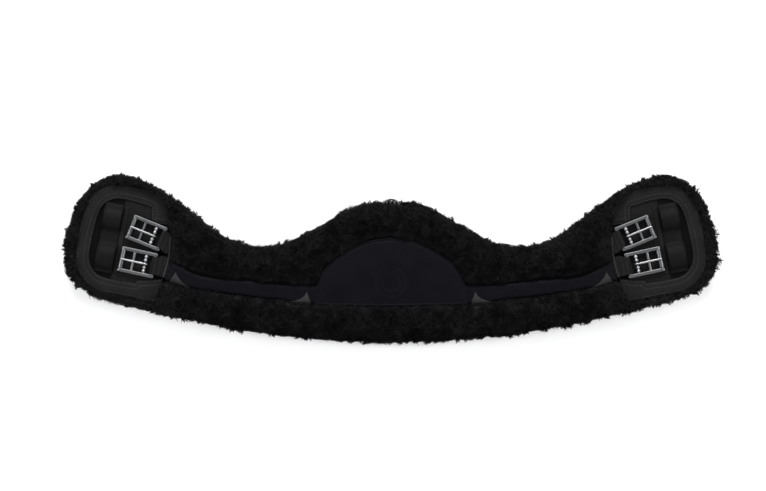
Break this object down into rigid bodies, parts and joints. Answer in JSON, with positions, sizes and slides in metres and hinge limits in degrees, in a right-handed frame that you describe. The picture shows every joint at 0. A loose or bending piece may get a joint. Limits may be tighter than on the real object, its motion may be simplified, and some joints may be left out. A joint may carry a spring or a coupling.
{
  "type": "saddle girth",
  "caption": "Short anatomic saddle girth: crescent lambskin pad with a padded leather middle, elastic ends, roller buckles, keeper loops and a front D-ring.",
  "frame": {"origin": "centre of the bounding box on the horse-side face, which lies on z = 0", "axes": "+X along the girth, +Y towards the front edge with the elbow hollows and the D-ring, +Z out of the outer face; the girth is mirrored about X = 0"},
  "size_m": [0.9, 0.232, 0.037],
  "materials": {
    "lambskin": "long curly pile, matt",
    "foam": "soft foam wadding, hidden",
    "nylon_web": "woven nylon webbing, hidden",
    "panel_leather": "smooth soft leather, satin",
    "border_leather": "matt leather, double stitched",
    "plate_fabric": "woven nylon",
    "keeper_leather": "matt leather",
    "gusset_fabric": "light grey knit",
    "elastic": "ribbed woven elastic",
    "binding": "edge binding",
    "steel": "polished stainless steel"
  },
  "bodies": {
    "root": {"fleece_horse_side": "lambskin", "fleece_front_roll": "lambskin", "fleece_rear_roll": "lambskin", "foam_core": "foam", "load_web": "nylon_web", "centre_panel_padding": "foam", "centre_panel": "panel_leather", "strip_right": "panel_leather", "gusset_outer_right": "gusset_fabric", "gusset_inner_right": "gusset_fabric", "end_plate_right": "plate_fabric", "end_border_right": "border_leather", "keeper_band_right": "keeper_leather", "keeper_strip_right": "border_leather", "slot_binding_right": "binding", "strip_left": "panel_leather", "gusset_outer_left": "gusset_fabric", "gusset_inner_left": "gusset_fabric", "end_plate_left": "plate_fabric", "end_border_left": "border_leather", "keeper_band_left": "keeper_leather", "keeper_strip_left": "border_leather", "slot_binding_left": "binding", "d_ring_tab": "keeper_leather"},
    "elastic_right_front": {"elastic_strap_right_front": "elastic"},
    "buckle_right_front": {"buckle_frame_right_front": "steel", "hinge_bar_right_front": "steel"},
    "roller_right_front": {"roller_right_front": "steel"},
    "tongue_right_front": {"tongue_right_front": "steel"},
    "elastic_right_rear": {"elastic_strap_right_rear": "elastic"},
    "buckle_right_rear": {"buckle_frame_right_rear": "steel", "hinge_bar_right_rear": "steel"},
    "roller_right_rear": {"roller_right_rear": "steel"},
    "tongue_right_rear": {"tongue_right_rear": "steel"},
    "elastic_left_front": {"elastic_strap_left_front": "elastic"},
    "buckle_left_front": {"buckle_frame_left_front": "steel", "hinge_bar_left_front": "steel"},
    "roller_left_front": {"roller_left_front": "steel"},
    "tongue_left_front": {"tongue_left_front": "steel"},
    "elastic_left_rear": {"elastic_strap_left_rear": "elastic"},
    "buckle_left_rear": {"buckle_frame_left_rear": "steel", "hinge_bar_left_rear": "steel"},
    "roller_left_rear": {"roller_left_rear": "steel"},
    "tongue_left_rear": {"tongue_left_rear": "steel"},
    "d_ring": {"d_ring": "steel"}
  },
  "joints": [
    {"name": "stretch_right_front", "type": "slide", "parent": "root", "child": "elastic_right_front", "axis": [0.9265, 0.3762, 0], "range_m": [0, 0.006], "stiffness_N_per_m": 5000},
    {"name": "tilt_right_front", "type": "hinge", "parent": "elastic_right_front", "child": "buckle_right_front", "pos_m": [0.3136, 0.0268, 0.0269], "axis": [0.3762, -0.9265, 0], "range_deg": [0, 45]},
    {"name": "roller_spin_right_front", "type": "hinge", "parent": "buckle_right_front", "child": "roller_right_front", "pos_m": [0.35437, 0.04335, 0.0269], "axis": [0.3762, -0.9265, 0], "continuous": true},
    {"name": "tongue_swing_right_front", "type": "hinge", "parent": "buckle_right_front", "child": "tongue_right_front", "pos_m": [0.32472, 0.03132, 0.0269], "axis": [0.3762, -0.9265, 0], "range_deg": [0, 110]},
    {"name": "stretch_right_rear", "type": "slide", "parent": "root", "child": "elastic_right_rear", "axis": [0.977, 0.213, 0], "range_m": [0, 0.006], "stiffness_N_per_m": 5000},
    {"name": "tilt_right_rear", "type": "hinge", "parent": "elastic_right_rear", "child": "buckle_right_rear", "pos_m": [0.3249, -0.0097, 0.0269], "axis": [0.213, -0.977, 0], "range_deg": [0, 45]},
    {"name": "roller_spin_right_rear", "type": "hinge", "parent": "buckle_right_rear", "child": "roller_right_rear", "pos_m": [0.36789, -0.00033, 0.0269], "axis": [0.213, -0.977, 0], "continuous": true},
    {"name": "tongue_swing_right_rear", "type": "hinge", "parent": "buckle_right_rear", "child": "tongue_right_rear", "pos_m": [0.33663, -0.00714, 0.0269], "axis": [0.213, -0.977, 0], "range_deg": [0, 110]},
    {"name": "stretch_left_front", "type": "slide", "parent": "root", "child": "elastic_left_front", "axis": [-0.9265, 0.3762, 0], "range_m": [0, 0.006], "stiffness_N_per_m": 5000},
    {"name": "tilt_left_front", "type": "hinge", "parent": "elastic_left_front", "child": "buckle_left_front", "pos_m": [-0.3136, 0.0268, 0.0269], "axis": [0.3762, 0.9265, 0], "range_deg": [0, 45]},
    {"name": "roller_spin_left_front", "type": "hinge", "parent": "buckle_left_front", "child": "roller_left_front", "pos_m": [-0.35437, 0.04335, 0.0269], "axis": [0.3762, 0.9265, 0], "continuous": true},
    {"name": "tongue_swing_left_front", "type": "hinge", "parent": "buckle_left_front", "child": "tongue_left_front", "pos_m": [-0.32472, 0.03132, 0.0269], "axis": [0.3762, 0.9265, 0], "range_deg": [0, 110]},
    {"name": "stretch_left_rear", "type": "slide", "parent": "root", "child": "elastic_left_rear", "axis": [-0.977, 0.213, 0], "range_m": [0, 0.006], "stiffness_N_per_m": 5000},
    {"name": "tilt_left_rear", "type": "hinge", "parent": "elastic_left_rear", "child": "buckle_left_rear", "pos_m": [-0.3249, -0.0097, 0.0269], "axis": [0.213, 0.977, 0], "range_deg": [0, 45]},
    {"name": "roller_spin_left_rear", "type": "hinge", "parent": "buckle_left_rear", "child": "roller_left_rear", "pos_m": [-0.36789, -0.00033, 0.0269], "axis": [0.213, 0.977, 0], "continuous": true},
    {"name": "tongue_swing_left_rear", "type": "hinge", "parent": "buckle_left_rear", "child": "tongue_left_rear", "pos_m": [-0.33663, -0.00714, 0.0269], "axis": [0.213, 0.977, 0], "range_deg": [0, 110]},
    {"name": "d_ring_swing", "type": "hinge", "parent": "root", "child": "d_ring", "pos_m": [0, 0.068, 0.0188], "axis": [1, 0, 0], "range_deg": [0, 30]}
  ]
}
